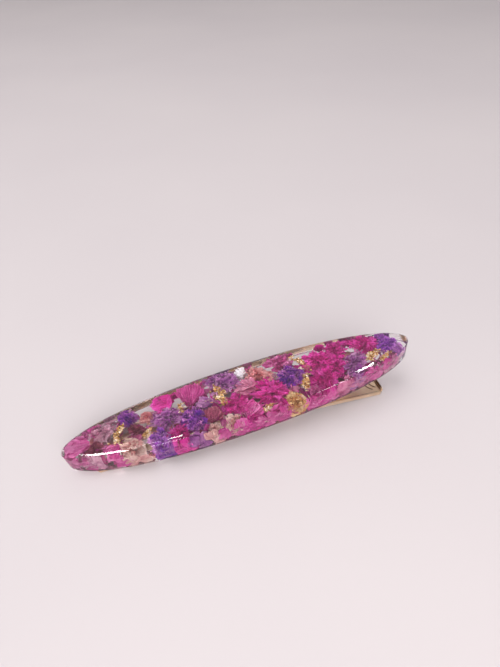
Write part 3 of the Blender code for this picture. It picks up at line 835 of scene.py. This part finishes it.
def bevelled_copy(node, name, material, body, width):
    """The CAD stamping again with its sheared edges broken, as after tumbling."""
    mesh = NODES[node].data.copy()
    mesh.name = name
    mesh.materials.clear()
    mesh.materials.append(material)
    piece = new_object(name, mesh)
    piece.matrix_world = NODES[node].matrix_world.copy()
    bevel = piece.modifiers.new("broken_edges", "BEVEL")
    bevel.width = width * MM
    bevel.segments = 3
    bevel.limit_method = "ANGLE"
    bevel.angle_limit = radians(32)
    mesh.shade_smooth()
    piece.modifiers.new("even_shading", "WEIGHTED_NORMAL").keep_sharp = True
    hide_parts(node)
    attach(piece, body)


def lever_z(x):
    """Height of the thumb lever's upper face in the bar's frame."""
    share = (x - LEVER_START[0]) / (LEVER_END[0] - LEVER_START[0])
    return LEVER_START[1] + share * (LEVER_END[1] - LEVER_START[1])


def bead(sheets, path, radius, columns=8, tint=0.5):
    """A round bead along a path of points."""
    path = np.array(path, float)
    along = np.gradient(path, axis=0)
    along /= np.linalg.norm(along, axis=1)[:, None]
    across = np.cross(along, (0.0, 0.0, 1.0))
    across /= np.linalg.norm(across, axis=1)[:, None]
    up = np.cross(across, along)
    t = np.linspace(0, 2 * pi, columns, endpoint=False)
    ring = np.cos(t)[None, :, None] * across[:, None] + np.sin(t)[None, :, None] * up[:, None]
    thick = np.full(len(path), radius)
    thick[0] = thick[-1] = 0.15 * radius
    sheets.grid(path[:, None] + ring * thick[:, None, None], closed=True, tint=tint)


def build_lever_shade_marks(material):
    """Dark beads of painted shade round the two pressed crescents, along the side folds and on and below
    the sheared lip.
    """
    sheets = Sheets()
    for start, radius in CRESCENTS:
        for edge in CRESCENT_EDGES:
            path = []
            for step in range(17):
                turn = radians(180 - CRESCENT_ARC + CRESCENT_ARC * step / 8)
                x = start + radius + (radius + edge) * cos(turn)
                path.append((x, (radius + edge) * sin(turn), lever_z(x) + 0.01))
            bead(sheets, path, 0.13)
    # Thin dark beads along the side folds: painted fold shadow.
    for side in (-1, 1):
        y = side * (ARM_HALF_WIDTH - 0.40)
        bead(sheets, [(x, y, lever_z(x) + 0.01) for x in np.linspace(16.5, 33.2, 24)], 0.035)
    # The lip's top and its foot as dark beads: painted shade.
    lip = LEVER_END[0] - LIP_RADIUS
    bead(sheets, [(lip, y, lever_z(lip) + LIP_HEIGHT) for y in np.linspace(-3.15, 3.15, 13)], LIP_RADIUS)
    foot = lip - 0.34
    bead(sheets, [(foot, y, lever_z(foot) + 0.02) for y in np.linspace(-3.2, 3.2, 13)], 0.10)
    piece = sheets.build("lever_painted_shade_beads", material, keep_inside=False)
    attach(piece, LEVER)


def build_spring(material):
    """Drawn wire: a leg under the upper arm, three and a half coils, a leg along the lever."""
    width = COIL_PITCH * COIL_TURNS
    top = ARM_BOTTOM - 0.08 - WIRE - PIN_Z
    path = [(x, -0.5 * width, top) for x in np.linspace(SPRING_LEG, 1.2, 9)]
    count = round(COIL_TURNS * COIL_STEPS)
    for i in range(count + 1):
        turn = pi / 2 + 2 * pi * i / COIL_STEPS
        path.append((COIL_RADIUS * cos(turn), -0.5 * width + width * i / count, COIL_RADIUS * sin(turn)))
    for x in np.linspace(LEVER_START[0] - PIN_X, SPRING_LEG, 7):
        path.append((x, 0.5 * width, lever_z(PIN_X + x) + 0.1 + WIRE - PIN_Z))
    path = np.array(path) + (PIN_X, 0, PIN_Z)
    along = np.gradient(path, axis=0)
    along /= np.linalg.norm(along, axis=1)[:, None]
    across = np.array((0.0, 1.0, 0.0)) - along * along[:, 1:2]
    across /= np.linalg.norm(across, axis=1)[:, None]
    third = np.cross(along, across)
    t = np.linspace(0, 2 * pi, 12, endpoint=False)
    rings = np.cos(t)[None, :, None] * across[:, None] + np.sin(t)[None, :, None] * third[:, None]
    sheets = Sheets()
    thick = np.full(len(path), WIRE)
    thick[0] = thick[-1] = 0.6 * WIRE
    sheets.grid(path[:, None] + rings * thick[:, None, None], closed=True)
    piece = sheets.build("wound_spring", material, keep_inside=False)
    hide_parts("torsion_spring")
    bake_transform(piece)


def build_rivet(material):
    """The hinge pin with turned heads, domed where they were peened over."""
    head = (
        (0.0, -0.46), (0.45, -0.44), (0.80, -0.37), (1.04, -0.26),
        (1.15, -0.12), (1.13, -0.05), (0.75, -0.05),
    )
    profile = [(r, -ARM_HALF_WIDTH + y) for r, y in head]
    profile += [(r, ARM_HALF_WIDTH - y) for r, y in reversed(head)]
    t = np.linspace(0, 2 * pi, 40, endpoint=False)
    rows = []
    for radius, y in profile:
        radius = max(radius, 0.01)
        x, z = PIN_X + radius * np.cos(t), PIN_Z + radius * np.sin(t)
        rows.append(np.stack([x, np.full(len(t), y), z], -1))
    sheets = Sheets()
    sheets.grid(np.array(rows), closed=True)
    piece = sheets.build("peened_pin", material, keep_inside=False)
    piece.data.set_sharp_from_angle(angle=radians(50))
    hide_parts("hinge_pin")
    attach(piece, BAR)


def build_glue(material):
    """Cured glue that has crept out past the arm's edges in a low uneven fillet."""
    low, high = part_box("upper_arm")
    reach = 0.5 * (high.x - low.x) / MM - 2.4
    middle = 0.5 * (ARM_FRONT + ARM_TAIL)
    t = np.linspace(0, 2 * pi, 160, endpoint=False)
    waver = 0.10 * np.sin(7 * t + 0.6) + 0.07 * np.sin(17 * t + 2.0) + 0.05 * np.sin(31 * t)
    fillet = (
        (-1.2, -0.31), (-0.3, -0.31), (0.0, -0.26), (0.10, -0.17),
        (0.06, -0.09), (-0.1, -0.055), (-1.2, -0.05),
    )
    rows = []
    for swell, z in fillet:
        x = middle + (reach + swell + waver) * np.cos(t)
        y = (3.3 + swell + waver) * np.sign(np.sin(t)) * np.abs(np.sin(t)) ** 0.35
        rows.append(np.stack([x, y, np.full(len(t), z)], -1))
    sheets = Sheets()
    sheets.grid(np.array(rows), closed=True)
    piece = sheets.build("glue_fillet", material, keep_inside=False)
    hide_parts("glue_bed")
    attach(piece, BAR)


# ---------------------------------------------------------------- stage

def build_stage():
    """A plain pale floor under soft studio light."""
    bm = bmesh.new()
    bmesh.ops.create_grid(bm, x_segments=2, y_segments=2, size=2.0)
    mesh = bpy.data.meshes.new("floor")
    bm.to_mesh(mesh)
    bm.free()
    floor = new_object("floor", mesh)
    mesh.materials.append(floor_material())

    world = bpy.data.worlds.new("studio")
    bpy.context.scene.world = world
    world.use_nodes = True
    sky = world.node_tree.nodes["Background"]
    sky.inputs["Color"].default_value = (1.0, 0.975, 0.985, 1)
    sky.inputs["Strength"].default_value = 0.62

    def lamp(name, place, size, power, gloss, level=False):
        """A lamp with gloss shows only as a highlight, and one without only lights surfaces."""
        data = bpy.data.lights.new(name, "AREA")
        data.shape = "RECTANGLE"
        data.size, data.size_y = size
        data.energy = power
        item = bpy.data.objects.new(name, data)
        bpy.context.collection.objects.link(item)
        item.location = place
        if not level:  # else it faces straight down, with its size along the floor's X and Y
            item.rotation_euler = Vector(place).to_track_quat("Z", "Y").to_euler()
        item.visible_transmission = False  # no bright patches focused on the floor
        item.visible_glossy = gloss
        item.visible_diffuse = not gloss

    # Two broad lamps light the surfaces, and the rest show as streaks in the polished edge.
    lamp("soft_key", (-0.35, 0.02, 0.80), (0.70, 0.60), 5.0, gloss=False)
    lamp("front_fill", (-0.05, -0.55, 0.30), (0.60, 0.36), 4.4, gloss=False)
    lamp("window", (-0.28, 0.23, 0.60), (0.11, 0.26), 2.6, gloss=True, level=True)
    lamp("window_sill", (-0.178, 0.385, 0.60), (0.09, 0.05), 0.12, gloss=True, level=True)
    lamp("window_pane", (-0.122, 0.36, 0.60), (0.026, 0.13), 0.25, gloss=True, level=True)
    lamp("left_edge", (-0.155, 0.03, 0.60), (0.07, 0.04), 0.07, gloss=True, level=True)
    lamp("right_edge", (0.16, 0.0, 0.60), (0.08, 0.05), 0.12, gloss=True, level=True)
    lamp("side_window", (0.218, 0.275, 0.60), (0.036, 0.25), 0.9, gloss=True, level=True)
    lamp("crest_strip", (-0.05, -0.55, 0.30), (0.60, 0.25), 2.2, gloss=True)


def build_camera():
    """The camera stands 12 cm off, in front and a little to the left, and looks down on the clip."""
    data = bpy.data.cameras.new("camera")
    data.sensor_fit = "HORIZONTAL"
    data.sensor_width = 36.0
    data.lens = 36.0
    data.clip_start = 0.005
    camera = bpy.data.objects.new("camera", data)
    bpy.context.collection.objects.link(camera)
    place = Vector((-20.13, -74.57, 95.68)) * MM
    target = Vector((8.05, 20.52, 8.0)) * MM
    turn = (target - place).to_track_quat("-Z", "Y").to_matrix()
    camera.location = place
    camera.rotation_euler = (turn @ Matrix.Rotation(radians(-2.25), 3, "Z")).to_euler()
    bpy.context.scene.camera = camera


metal = clip_material()
bevelled_copy("upper_arm", "stamped_arm", metal, BAR, 0.07)
bevelled_copy("lower_arm", "stamped_lever", metal, LEVER, 0.06)
# The lever's dark beads are painted shade in its crescents, folds and lip.
build_lever_shade_marks(painted_shade_material())
build_rivet(metal)
build_spring(wire_material())
build_glue(glue_material())
build_resin(resin_material())
petals = {name: petal_material(name) for name in PALETTE}
build_florets(petals)
build_litter(petals)
build_flakes(foil_material())
build_stage()
build_camera()
scene = bpy.context.scene
scene.view_settings.view_transform = "Standard"
scene.cycles.use_denoising = True
